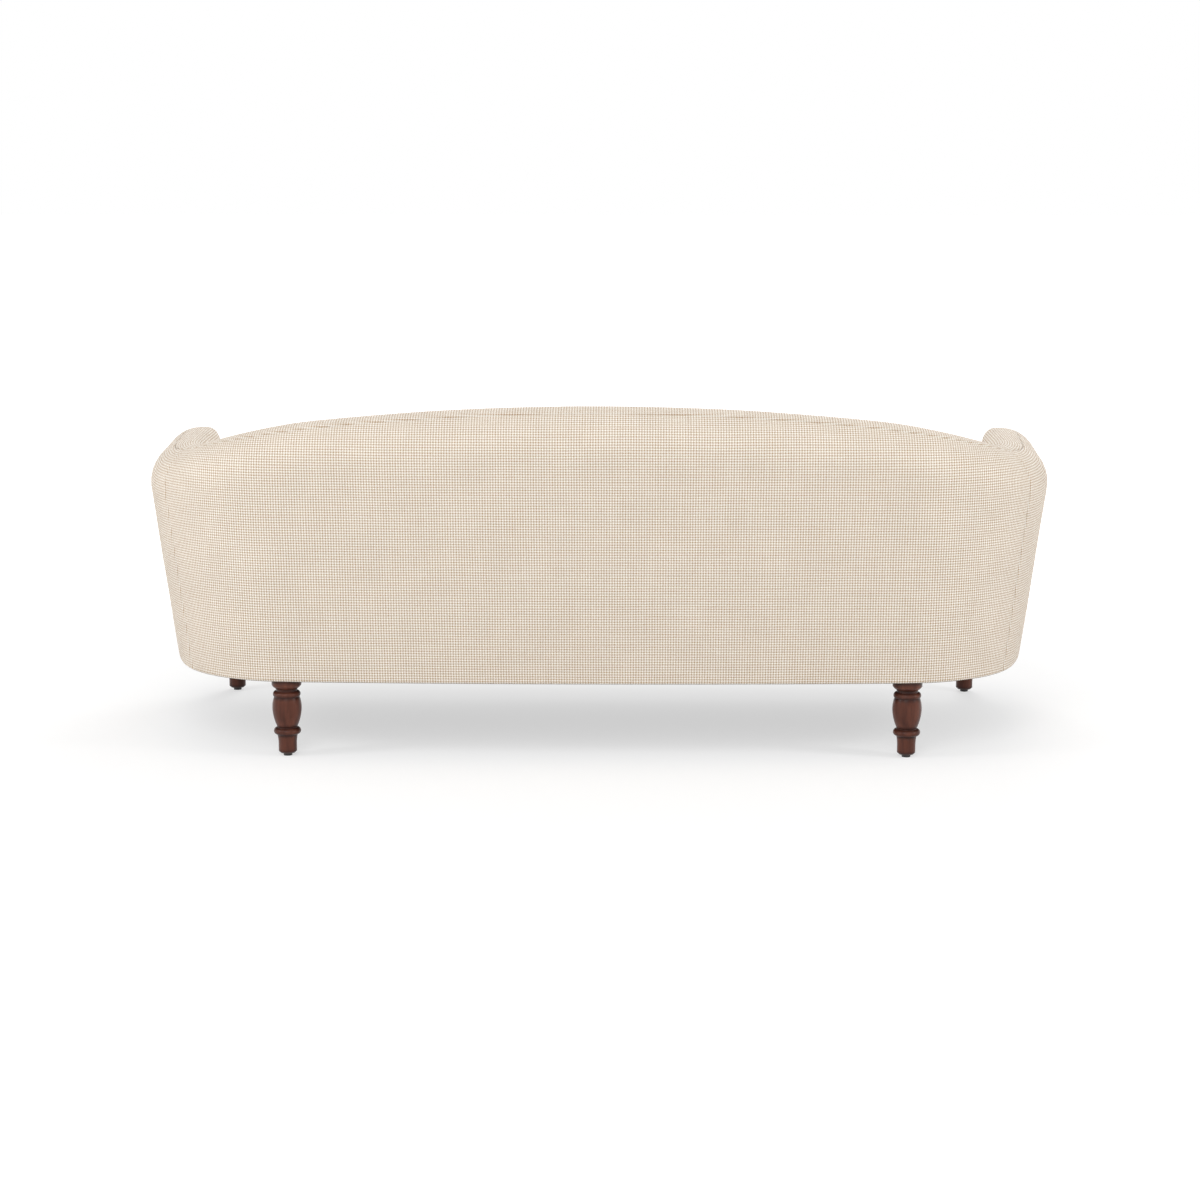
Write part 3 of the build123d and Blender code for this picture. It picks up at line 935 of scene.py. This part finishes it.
@dataclass
class WallCover:
    """The sewn cloth panels of the wall: outside and inside, back and arms."""

    shape: TubShape
    cloth: bpy.types.Material
    seam_angle: float = math.radians(57.0)
    seam_drop: float = 0.010
    inner_bottom: float = 0.275
    thickness: float = 0.0022
    spacing: float = 0.018
    seam_edge: tuple[float, ...] = (0.0, 0.0012, 0.0026, 0.0045, 0.0075, 0.013)
    seam_width: float = 0.005
    seam_depth: float = 0.0030
    seam_gap: float = 0.0003
    swell: float = 0.0012
    full_at: float = 0.12
    unevenness: float = 0.0009
    ripples: float = 7.0
    pieces: list[bpy.types.Object] = field(default_factory=list)

    def build(self) -> None:
        """Build every panel of the wall."""
        seam = self.shape.along_at_angle(self.seam_angle)
        for layer in Layer:
            self.panel(f"{layer.value}_back_panel", layer, -seam, seam)
            for side in Side:
                self.panel(f"{side.word}_{layer.value}_arm_panel", layer, seam, None, side)

    def panel(
        self, name: str, layer: Layer, start: float, end: float | None, side: Side = Side.RIGHT
    ) -> None:
        """Build one panel between two places on the path.

        Args:
            name: Object name.
            layer: Outside or inside of the wall.
            start: Path length where the panel starts.
            end: Path length where it ends, or None for the front of the arm.
            side: Half of the sofa that an arm panel is on.
        """
        shape = self.shape
        middle_front = shape.along_at_front(shape.arm_front_y, 0.0)
        last = middle_front if end is None else end
        ways = steps_between(start + self.seam_gap, last - self.seam_gap, self.spacing, self.seam_edge)
        sections = [wall_section(shape, way, self.inner_bottom) for way in ways]
        seams = [seam_length(section, self.seam_drop) for section in sections]
        deepest = max(
            seam if layer is Layer.OUTSIDE else section.lengths[-1] - seam
            for section, seam in zip(sections, seams)
        )
        shares = [step / deepest for step in steps_between(0.0, deepest, self.spacing, self.seam_edge)]
        middle = (start + last) / 2

        def place(column: int, row: int) -> Spot:
            """Position, map position and sewn share of one grid point."""
            section, seam, way = sections[column], seams[column], ways[column]
            low, high = (0.0, seam) if layer is Layer.OUTSIDE else (seam, section.lengths[-1])
            run = high - low
            length = low + self.seam_gap + (run - 2 * self.seam_gap) * shares[row]
            spot, lean = section.at(length)
            if end is None:
                front = shape.along_at_front(shape.arm_front_y, spot.x)
                reach = (way - start) / (last - start)
                way = start + (front - start) * reach
            from_sides = min(way - start, last - ways[column])
            from_crown = abs(length - seam)
            from_ends = min(length - low, high - length)
            # Share of painted shade along the side and crown seams.
            sewn = crease(min(from_sides, from_crown), self.seam_width, 1.0)
            dent = crease(min(from_sides, from_ends), self.seam_width, self.seam_depth)
            fullness = min(1.0, min(from_sides, from_ends) / self.full_at)
            base, out = shape.station(way * side.value)
            position = base + out * spot.x + Vector((0.0, 0.0, spot.y))
            normal = out * lean.x + Vector((0.0, 0.0, lean.y))
            ripple = noise.noise(position * self.ripples) * self.unevenness
            lift = self.swell * math.sin(fullness * math.pi / 2) + ripple * fullness - dent
            level_way = way + shape.turn(way) * spot.x
            return position + normal * lift, (level_way * side.value, length), sewn

        out = shape.station(middle * side.value)[1]
        facing = out if layer is Layer.OUTSIDE else -out
        piece = make_sheet(name, len(ways), len(shares), place, facing, self.thickness)
        self.dress(piece, name, layer)

    def dress(self, piece: bpy.types.Object, name: str, layer: Layer) -> None:
        """Give a panel its cloth, hang it on the sofa's body and hide the CAD parts that it replaces.

        Args:
            piece: The panel.
            name: Its name.
            layer: Outside or inside of the wall.
        """
        piece.data.materials.append(self.cloth)
        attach(piece, SOFA_BODY)
        node = name.replace("panel", "cover")
        extra = []
        if layer is Layer.INSIDE and "back" in name:
            extra = ["back_padding", "left_corner_padding", "right_corner_padding"]
        elif layer is Layer.INSIDE:
            extra = [node.replace("inside_arm_cover", part) for part in ("arm_padding", "arm_rear_padding")]
        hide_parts(node, *extra)
        self.pieces.append(piece)


@dataclass
class ArmFronts:
    """The padded cloth panels that close the front of each arm."""

    shape: TubShape
    cloth: bpy.types.Material
    spacing: float = 0.012
    edge: tuple[float, ...] = (0.0, 0.0012, 0.0026, 0.0045, 0.0075, 0.012)
    seam_width: float = 0.0045
    seam_depth: float = 0.0022
    swell: float = 0.007
    full_at: float = 0.05
    thickness: float = 0.0022
    top_gap: float = 0.0012
    pieces: list[bpy.types.Object] = field(default_factory=list)

    def build(self) -> None:
        """Build both panels."""
        for side in Side:
            self.panel(side)

    def half_widths(self, section: Section, z: float) -> tuple[float, float]:
        """Inner and outer edge of the section at a height.

        Args:
            section: Section of the arm at its front.
            z: Height.

        Returns:
            Outward distances of the inner and the outer edge.
        """
        edges = []
        z = max(z, section.points[0].y + 1e-6)
        for first, second in zip(section.points, section.points[1:]):
            low, high = sorted((first.y, second.y))
            if low <= z <= high and high > low:
                edges.append(first.x + (second.x - first.x) * (z - first.y) / (second.y - first.y))
        return min(edges), max(edges)

    def panel(self, side: Side) -> None:
        """Build the panel of one arm.

        Args:
            side: Half of the sofa that the panel is on.
        """
        shape = self.shape
        along = shape.along_at_front(shape.arm_front_y, 0.0)
        section = wall_section(shape, along, shape.base_bottom)
        top = max(point.y for point in section.points) - self.top_gap
        heights = steps_between(shape.base_bottom, top, self.spacing, self.edge)
        span = shape.thickness
        shares = [way / span for way in steps_between(0.0, span, self.spacing, self.edge)]

        def place(column: int, row: int) -> Spot:
            """Position, map position and sewn share of one grid point."""
            z = heights[row]
            inner, outer = self.half_widths(section, z)
            spot = inner + (outer - inner) * shares[column]
            way = shape.along_at_front(shape.arm_front_y, spot)
            base, out = shape.station(way * side.value)
            position = base + out * spot + Vector((0.0, 0.0, z))
            near = min(spot - inner, outer - spot, z - shape.base_bottom, top - z)
            full = math.sin(min(1.0, near / self.full_at) * math.pi / 2)
            dent = crease(near, self.seam_width, self.seam_depth)
            position.y += dent - self.swell * full
            # The dent's share also sets the painted shade along the panel's edges.
            return position, (position.x, z), dent / self.seam_depth

        piece = make_sheet(
            f"{side.word}_arm_front", len(shares), len(heights), place, Vector((0, -1, 0)), self.thickness
        )
        piece.data.materials.append(self.cloth)
        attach(piece, SOFA_BODY)
        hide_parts(f"{side.word}_arm_front_panel")
        self.pieces.append(piece)


@dataclass(frozen=True)
class HalfPlan:
    """Plan of the seat's right half, between the middle, a front line and the tub's wall."""

    shape: TubShape
    outward: float
    front_y: float
    first_x: float = 0.0

    @property
    def last(self) -> float:
        """Path length where the wall meets the front line."""
        return self.shape.along_at_front(self.front_y, self.outward)

    @property
    def turn(self) -> float:
        """Path length of the point in the rounded corner where side and back meet."""
        return self.shape.along_at_angle(math.radians(45.0))

    def wall(self, way: float) -> Vector:
        """Point beside the wall at a path length."""
        base, out = self.shape.station(way)
        return base + out * self.outward

    def side_way(self, deep: float) -> float:
        """Path length on the side for a share from front to back."""
        return self.last + (self.turn - self.last) * deep

    def back_way(self, across: float) -> float:
        """Path length on the back for a share from the middle to the side."""
        return self.first_x + (self.turn - self.first_x) * across

    def point(self, across: float, deep: float) -> Vector:
        """Point of the plan, spread evenly between its four sides.

        Args:
            across: Share from the middle of the sofa to the arm.
            deep: Share from the front to the back.

        Returns:
            Level point at height 0.
        """
        near = Vector((self.first_x, self.front_y, 0.0))
        far = self.wall(self.first_x)
        front_end, corner = self.wall(self.last), self.wall(self.turn)
        sides = near.lerp(front_end, across) * (1 - deep) + self.wall(self.back_way(across)) * deep
        ends = near.lerp(far, deep) * (1 - across) + self.wall(self.side_way(deep)) * across
        corners = near.lerp(front_end, across) * (1 - deep) + far.lerp(corner, across) * deep
        return sides + ends - corners


@dataclass
class SeatBase:
    """Front border, seat deck and the dust cover under the frame."""

    shape: TubShape
    cloth: bpy.types.Material
    deck_cloth: bpy.types.Material
    cambric: bpy.types.Material
    border_front_y: float = -0.435
    border_back_y: float = -0.3557
    deck_top: float = 0.3027
    rounding: float = 0.0173
    dust_top: float = 0.1795
    dust_inset: float = 0.0033
    spacing: float = 0.02
    edge: tuple[float, ...] = (0.0, 0.002, 0.005, 0.01)
    thickness: float = 0.0022
    swell: float = 0.004
    full_at: float = 0.05
    unevenness: float = 0.001
    ripples: float = 6.0
    arm_gap: float = 0.0006
    sag: float = 0.002
    sag_share: float = 0.2
    wall_gap: float = 0.002
    sheet_thickness: float = 0.0012
    pieces: list[bpy.types.Object] = field(default_factory=list)

    def build(self) -> None:
        """Build the three sheets."""
        self.border()
        deck_nodes = ["deck_cover", "deck_pad"]
        self.floor_sheet("deck_sheet", self.deck_cloth, "deck_cloth", deck_nodes, self.deck_top)
        dust_z = self.shape.base_bottom
        self.floor_sheet("dust_sheet", self.cambric, "black_cambric", ["dust_cover"], dust_z)

    def border(self) -> None:
        """Build the border below the cushions, with its rolled top edge."""
        shape = self.shape
        corner = Vector((self.border_front_y, self.deck_top))
        foot = Vector((self.border_front_y, shape.base_bottom))
        back = Vector((self.border_back_y, self.deck_top))
        profile = Section([foot, *round_corner(corner, foot, back, self.rounding, 8), back])
        lengths = steps_between(0.0, profile.lengths[-1], 0.01, self.edge)
        shares = steps_between(0.0, 2.0, self.spacing, self.edge)

        def place(column: int, row: int) -> Spot:
            """Position, map position and sewn share of one grid point."""
            spot, lean = profile.at(lengths[row])
            way = shape.along_at_front(spot.x, shape.inner(spot.y))
            base, out = shape.station(way)
            half = base.x + out.x * shape.inner(spot.y) - self.arm_gap
            x = half * (shares[column] - 1.0)
            near = min(half - abs(x), lengths[row], profile.lengths[-1] - lengths[row])
            full = min(1.0, near / self.full_at)
            lift = self.swell * math.sin(full * math.pi / 2)
            ripple = noise.noise(Vector((x, lengths[row], 0.0)) * self.ripples) * self.unevenness * full
            y = spot.x - lean.x * (lift + ripple)
            z = spot.y - lean.y * ripple
            return Vector((x, y, z)), (x, lengths[row]), 0.0

        piece = make_sheet(
            "front_border", len(shares), len(lengths), place, Vector((0, -1, 0.2)), self.thickness
        )
        self.dress(piece, self.cloth, CLOTH_SLOT, ["front_border_cover", "front_edge_roll"])

    def floor_sheet(
        self, name: str, material: bpy.types.Material, slot: str, nodes: list[str], z: float
    ) -> None:
        """Build a level sheet that fills the tub at a height.

        Args:
            name: Object name.
            material: Its cloth.
            slot: Material slot of the record.
            nodes: CAD nodes that it stands for.
            z: Height of its face.
        """
        shape = self.shape
        deck = z > self.dust_top
        if deck:
            plan = HalfPlan(shape, shape.inner(z) - self.wall_gap, self.border_back_y)
        else:
            plan = HalfPlan(shape, -self.dust_inset, self.border_front_y + self.dust_inset)
        columns = steps_between(-1.0, 1.0, 0.025, (0.0, 0.01))
        rows = steps_between(0.0, 1.0, 0.04, (0.0, 0.01))

        def place(column: int, row: int) -> Spot:
            """Position, map position and sewn share of one grid point."""
            across, deep = columns[column], rows[row]
            spot = plan.point(abs(across), deep)
            full = min(1.0, min(1.0 - abs(across), deep, 1.0 - deep) / self.sag_share)
            dip = self.sag * math.sin(full * math.pi / 2)
            position = Vector((math.copysign(spot.x, across), spot.y, z - dip))
            return position, (position.x, position.y), 0.0

        facing = Vector((0, 0, 1)) if deck else Vector((0, 0, -1))
        piece = make_sheet(name, len(columns), len(rows), place, facing, self.sheet_thickness)
        corner = plan.wall(plan.last)
        depth = plan.wall(0.0).y - plan.front_y
        self.dress(piece, material, slot, nodes)

    def dress(
        self, piece: bpy.types.Object, material: bpy.types.Material, slot: str, nodes: list[str]
    ) -> None:
        """Give a sheet its cloth, hang it on the sofa's body and hide the CAD nodes that it replaces.

        Args:
            piece: The sheet.
            material: Its cloth.
            slot: Material slot of the record. Not used.
            nodes: CAD nodes that it stands for.
        """
        piece.data.materials.append(material)
        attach(piece, SOFA_BODY)
        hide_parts(*nodes)
        self.pieces.append(piece)


@dataclass
class SeatCushion:
    """One loose boxed cushion, blown up by a cloth simulation inside its CAD space."""

    shape: TubShape
    cloth: bpy.types.Material
    side: Side
    bottom: float = 0.3030
    height: float = 0.140
    front_y: float = -0.447
    middle_x: float = 0.007
    wall_gap: float = 0.012
    columns: int = 34
    rows: int = 26
    levels: int = 9
    seam_step: float = 0.0035
    seam_depth: float = 0.0040
    touch_gap: float = 0.0012
    cap: float = 0.030
    crown: float = 0.020
    draw_in: float = 0.009
    pressure: float = 2.0
    mass: float = 0.05
    frames: int = 20
    piece: bpy.types.Object | None = None
    seam: list[int] = field(default_factory=list)
    walls: dict[int, Vector] = field(default_factory=dict)

    def build(self) -> None:
        """Build, blow up and dress the cushion."""
        self.cage()
        self.blow_up()
        self.sew()
        self.finish()

    def level_heights(self) -> list[float]:
        """Heights of the cage's levels, close together beside the two seams."""
        inner = self.levels - 2
        low, high = self.bottom + self.seam_step, self.bottom + self.height - self.seam_step
        middle = [low + (high - low) * step / inner for step in range(inner + 1)]
        return [self.bottom, *middle, self.bottom + self.height]

    def crowd(self, share: float, count: int, span: float) -> float:
        """Move the rows beside an edge close to it.

        Args:
            share: Even share from 0 to 1.
            count: Spans of the grid.
            span: Length that the share runs over.

        Returns:
            The moved share.
        """
        step = round(share * count)
        near = self.seam_step / span
        if step == 1:
            return near
        if step == count - 1:
            return 1.0 - near
        return step / count

    @staticmethod
    def fullness(share: float) -> float:
        """Share of the crown at a place across the cushion: none at the edges, full in the middle.

        Args:
            share: Place from 0 to 1 between two edges.

        Returns:
            The share of the crown.
        """
        flatness = 2.6
        return 1.0 - abs(2.0 * share - 1.0) ** flatness

    def cage(self) -> None:
        """Model the boxed cage: a grid extruded upwards level by level, then placed on the plan."""
        made = add_grid(f"{self.side.word}_seat_cushion", self.columns + 1, self.rows + 1)
        bpy.ops.object.mode_set(mode="EDIT")
        bpy.ops.mesh.select_all(action="SELECT")
        for _ in range(self.levels):
            bpy.ops.mesh.extrude_region_move(TRANSFORM_OT_translate={"value": (0.0, 0.0, 1.0)})
        bpy.ops.object.mode_set(mode="OBJECT")
        heights = self.level_heights()
        plans = [
            HalfPlan(self.shape, self.shape.inner(z) - self.wall_gap, self.front_y, self.middle_x)
            for z in heights
        ]
        width = plans[0].wall(plans[0].last).x - self.middle_x
        depth = plans[0].wall(self.middle_x).y - self.front_y
        for vertex in made.data.vertices:
            across = self.crowd(vertex.co.x + 0.5, self.columns, width)
            deep = self.crowd(vertex.co.y + 0.5, self.rows, depth)
            level = round(vertex.co.z)
            plan = plans[level]
            on_rim = across in (0.0, 1.0) or deep in (0.0, 1.0)
            if on_rim and level in (0, self.levels):
                self.seam.append(vertex.index)
            if 1.0 in (across, deep):
                way = plan.side_way(deep) if across == 1.0 else plan.back_way(across)
                normal = self.shape.station(way)[1]
                self.walls[vertex.index] = Vector((normal.x * self.side.value, normal.y, 0.0))
            spot = plan.point(across, deep)
            spot.x += self.draw_in * self.fullness(deep) * (1.0 - across)
            spot.y += self.draw_in * self.fullness(across) * (1.0 - deep)
            rise = self.crown * self.fullness(across) * self.fullness(deep) if level == self.levels else 0.0
            vertex.co = Vector((spot.x * self.side.value, spot.y, heights[level] + rise))
        made.data.update()
        deselect()
        bpy.context.view_layer.objects.active = made
        made.select_set(True)
        bpy.ops.object.mode_set(mode="EDIT")
        bpy.ops.mesh.select_all(action="SELECT")
        bpy.ops.mesh.normals_make_consistent(inside=False)
        bpy.ops.object.mode_set(mode="OBJECT")
        self.lay_flat(made)
        self.piece = made

    @staticmethod
    def lay_flat(made: bpy.types.Object) -> None:
        """Write the cloth map: the panels lie flat, the boxing runs round the edge.

        Args:
            made: The cage.
        """

        def place(corner: bpy.types.MeshLoop, face: bpy.types.MeshPolygon) -> Flat:
            """Map position of a face corner."""
            spot = made.data.vertices[corner.vertex_index].co
            if abs(face.normal.z) > 0.7:
                return spot.x, spot.y
            if abs(face.normal.y) > abs(face.normal.x):
                return spot.x, spot.z
            return spot.y, spot.z

        cloth_map(made, place)

    def blow_up(self) -> None:
        """Swell the cage between its sewn edges, then hold each point near where it started."""
        made = self.piece
        rest = [vertex.co.copy() for vertex in made.data.vertices]
        deselect()
        bpy.context.view_layer.objects.active = made
        made.select_set(True)
        bpy.ops.object.modifier_add(type="CLOTH")
        cloth = made.modifiers[-1]
        settings = cloth.settings
        pins = made.vertex_groups.new(name="seams")
        pins.add(self.seam, 1.0, "REPLACE")
        settings.vertex_group_mass = pins.name
        settings.quality = 6
        settings.mass = self.mass
        settings.tension_stiffness = 18.0
        settings.compression_stiffness = 18.0
        settings.shear_stiffness = 8.0
        settings.bending_stiffness = 1.2
        settings.use_pressure = True
        settings.uniform_pressure_force = self.pressure
        settings.effector_weights.gravity = 0.0
        scene = bpy.context.scene
        for step in range(1, self.frames + 1):
            scene.frame_set(step)
        bpy.ops.object.modifier_apply(modifier=cloth.name)
        made.vertex_groups.clear()
        scene.frame_set(1)
        room = self.wall_gap - self.touch_gap
        for vertex, start in zip(made.data.vertices, rest):
            move = vertex.co - start
            if move.length > self.cap:
                move = move.normalized() * self.cap
            wall = self.walls.get(vertex.index)
            if wall is not None and move.dot(wall) > room:
                move -= wall * (move.dot(wall) - room)
            spot = start + move
            inward = max(spot.x * self.side.value, self.touch_gap)
            rests = start.z < self.bottom + self.touch_gap
            height = self.bottom if rests else max(spot.z, self.bottom)
            vertex.co = Vector((inward * self.side.value, spot.y, height))
        made.data.update()

    def sew(self) -> None:
        """Draw the two seams in, so that a fine crease runs round the cushion, and mark them for the
        painted shade along the seams.
        """
        mesh = self.piece.data
        on_seam = set(self.seam)
        # Painted shade: the cloth darkens these seam vertices.
        mark_sewn(self.piece, [float(vertex.index in on_seam) for vertex in mesh.vertices])
        for index in self.seam:
            vertex = mesh.vertices[index]
            vertex.co -= vertex.normal * self.seam_depth
            vertex.co.z = max(vertex.co.z, self.bottom)
        mesh.update()

    def finish(self) -> None:
        """Round the cage off and dress it."""
        made = self.piece
        apply_modifier(made, "SUBSURF", levels=2, render_levels=2)
        smooth(made, 60.0)
        made.data.materials.append(self.cloth)
        word = self.side.word
        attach(made, f"{word}_cushion")
        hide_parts(f"{word}_seat_cushion_cover", f"{word}_seat_cushion_core")


@dataclass
class Fittings:
    """Finishes of the CAD nodes that stay: legs, glides and the hidden frame."""

    groups: Groups

    def finishes(self) -> dict[str, bpy.types.Material]:
        """Make one finish for each material slot of the record.

        Returns:
            Slot name to material.
        """
        plain = (
            Mottled("frame_wood", (0.6, 0.44, 0.27), (0.46, 0.32, 0.19), 0.7, 9.0),
            Mottled("backing_board", (0.4, 0.29, 0.19), (0.31, 0.22, 0.14), 0.9, 25.0),
            Mottled("foam", (0.82, 0.78, 0.64), (0.74, 0.69, 0.53), 0.95, 40.0),
            Mottled("webbing", (0.29, 0.23, 0.16), (0.2, 0.15, 0.1), 0.9, 120.0),
            Mottled("zinc_steel", (0.62, 0.62, 0.63), (0.5, 0.5, 0.51), 0.38, 60.0, metallic=1.0),
            Mottled("glide_plastic", (0.03, 0.028, 0.026), (0.015, 0.014, 0.013), 0.5, 90.0),
            Mottled("black_cambric", (0.035, 0.035, 0.037), (0.02, 0.02, 0.022), 0.95, 160.0),
        )
        made = {finish.name: finish.make(self.groups) for finish in plain}
        made["leg_wood"] = TurnedWood().make(self.groups)
        return made

    def dress(self, finishes: dict[str, bpy.types.Material], cloth: bpy.types.Material) -> None:
        """Give every CAD node its finish.

        Args:
            finishes: Slot name to material.
            cloth: Material for the cloth slots.
        """
        slots = {part["node"]: part["material_slot"] for part in frame["record"]["subparts"]}
        for name, node in frame["nodes"].items():
            material = finishes.get(slots.get(name), cloth)
            node.data.materials.clear()
            node.data.materials.append(material)
            LOG.info("finish %s on %s", material.name, name)


@dataclass
class Studio:
    """Pale floor, soft light and the camera at the photograph's angle, behind the sofa."""

    camera_place: Vector = field(default_factory=lambda: Vector((-0.0739, 5.8939, 1.3431)))
    pitch: float = math.radians(9.985)
    yaw: float = math.radians(0.68)
    lens: float = 74.33
    sensor: float = 36.0
    floor_half: float = 60.0
    floor_colour: Colour = (0.82, 0.82, 0.82)
    floor_seen: Colour = (0.43, 0.43, 0.43)
    floor_lift: float = 0.585
    shadow_reach: tuple[float, float] = (1.3, 2.6)
    sky: float = 0.62

    def build(self) -> None:
        """Build floor, world, lamps and camera."""
        self.floor()
        self.world()
        self.lamps()
        self.camera()

    def floor(self) -> None:
        """Lay a wide pale floor that keeps the sofa's shadow."""
        deselect()
        bpy.ops.mesh.primitive_plane_add(size=2 * self.floor_half)
        floor = bpy.context.object
        floor.name = "studio_floor"
        material, tree, shader = blank_material("studio_floor")
        socket_value(shader, {"Roughness": 0.9, "Specular IOR Level": 0.0})
        path = tree.node("LightPath")
        pale = tree.mix(path.outputs["Is Camera Ray"], rgba(self.floor_colour), rgba(self.floor_seen))
        tree.join(pale, shader.inputs["Base Color"])
        seen = tree.math("MAXIMUM", path.outputs["Is Camera Ray"], path.outputs["Is Glossy Ray"])
        away = tree.node("VectorMath", operation="LENGTH")
        tree.join(tree.node("TexCoord").outputs["Object"], away.inputs[0])
        rise = tree.node("MapRange", interpolation_type="SMOOTHSTEP")
        near, far = self.shadow_reach
        socket_value(rise, {"From Min": near, "From Max": far, "To Min": self.floor_lift, "To Max": 1.0})
        tree.join(away.outputs["Value"], rise.inputs["Value"])
        tree.join(tree.math("MULTIPLY", seen, rise.outputs[0]), shader.inputs["Emission Strength"])
        shader.inputs["Emission Color"].default_value = (1.0, 1.0, 1.0, 1.0)
        floor.data.materials.append(material)

    def world(self) -> None:
        """Light the studio evenly, with a white backdrop for the camera."""
        world = bpy.data.worlds.new("studio")
        world.use_nodes = True
        world.node_tree.nodes.clear()
        tree = Tree(world.node_tree)
        path = tree.node("LightPath")
        seen = tree.math("MAXIMUM", path.outputs["Is Camera Ray"], path.outputs["Is Glossy Ray"])
        seen = tree.math("MAXIMUM", seen, path.outputs["Is Transmission Ray"])
        light = tree.node("Background")
        socket_value(light, {"Color": (1.0, 1.0, 1.0, 1.0), "Strength": self.sky})
        backdrop = tree.node("Background")
        socket_value(backdrop, {"Color": (1.0, 1.0, 1.0, 1.0), "Strength": 1.0})
        mixed = tree.node("MixShader")
        tree.join(seen, mixed.inputs[0])
        tree.join(light.outputs[0], mixed.inputs[1])
        tree.join(backdrop.outputs[0], mixed.inputs[2])
        out = tree.node("OutputWorld")
        tree.join(mixed.outputs[0], out.inputs["Surface"])
        bpy.context.scene.world = world

    def lamps(self) -> None:
        """Hang a broad soft lamp behind and in front of the sofa, and a small one at each side."""
        middle = Vector((0.0, 0.0, 0.45))
        for name, place, size, power in (
            ("key_lamp", Vector((0.8, 4.8, 3.6)), 3.0, 91.0),
            ("left_lamp", Vector((-4.2, 1.6, 2.2)), 0.9, 46.0),
            ("right_lamp", Vector((4.2, 1.6, 2.2)), 0.9, 43.0),
            ("front_lamp", Vector((-0.8, -4.8, 3.6)), 3.0, 105.0),
        ):
            lamp = bpy.data.lights.new(name, "AREA")
            lamp.shape = "DISK"
            lamp.size = size
            lamp.energy = power
            holder = bpy.data.objects.new(name, lamp)
            holder.location = place
            holder.rotation_euler = (middle - place).to_track_quat("-Z", "Y").to_euler()
            bpy.context.scene.collection.objects.link(holder)

    def camera(self) -> None:
        """Stand the camera behind the sofa and look slightly down."""
        camera = bpy.data.cameras.new("photo_camera")
        camera.lens = self.lens
        camera.sensor_width = self.sensor
        holder = bpy.data.objects.new("photo_camera", camera)
        holder.location = self.camera_place
        holder.rotation_euler = (math.pi / 2 - self.pitch, 0.0, math.pi + self.yaw)
        bpy.context.scene.collection.objects.link(holder)
        bpy.context.scene.camera = holder
        bpy.context.scene.view_settings.view_transform = "Standard"


def main() -> None:
    """Build and dress every part of the sofa, then the studio."""
    logging.basicConfig(level=logging.INFO, format="%(name)s: %(message)s")
    shape = TubShape()
    # Heights of the turned grooves on the legs that get painted shade.
    glaze = glaze_group((0.009, 0.050, 0.068, 0.1385, 0.155, 0.176), 0.008)
    groups = Groups(weave_group(0.006, 8), mottle_group(), grain_group(), glaze)
    cloth = CheckCloth().make(groups)
    deck_cloth = CheckCloth(name="deck_cloth", light=(0.82, 0.76, 0.68), dark=(0.7, 0.6, 0.5)).make(groups)
    fittings = Fittings(groups)
    finishes = fittings.finishes()
    finishes["deck_cloth"] = deck_cloth
    fittings.dress(finishes, cloth)
    wall = WallCover(shape, cloth)
    wall.build()
    fronts = ArmFronts(shape, cloth)
    fronts.build()
    base = SeatBase(shape, cloth, deck_cloth, finishes["black_cambric"])
    base.build()
    cushions = [SeatCushion(shape, cloth, side) for side in Side]
    for cushion in cushions:
        cushion.build()
    pieces = wall.pieces + fronts.pieces + base.pieces + [cushion.piece for cushion in cushions]
    for piece in pieces:
        LOG.info("piece %s with %d faces", piece.name, len(piece.data.polygons))
    Studio().build()


if __name__ == "__main__":
    main()
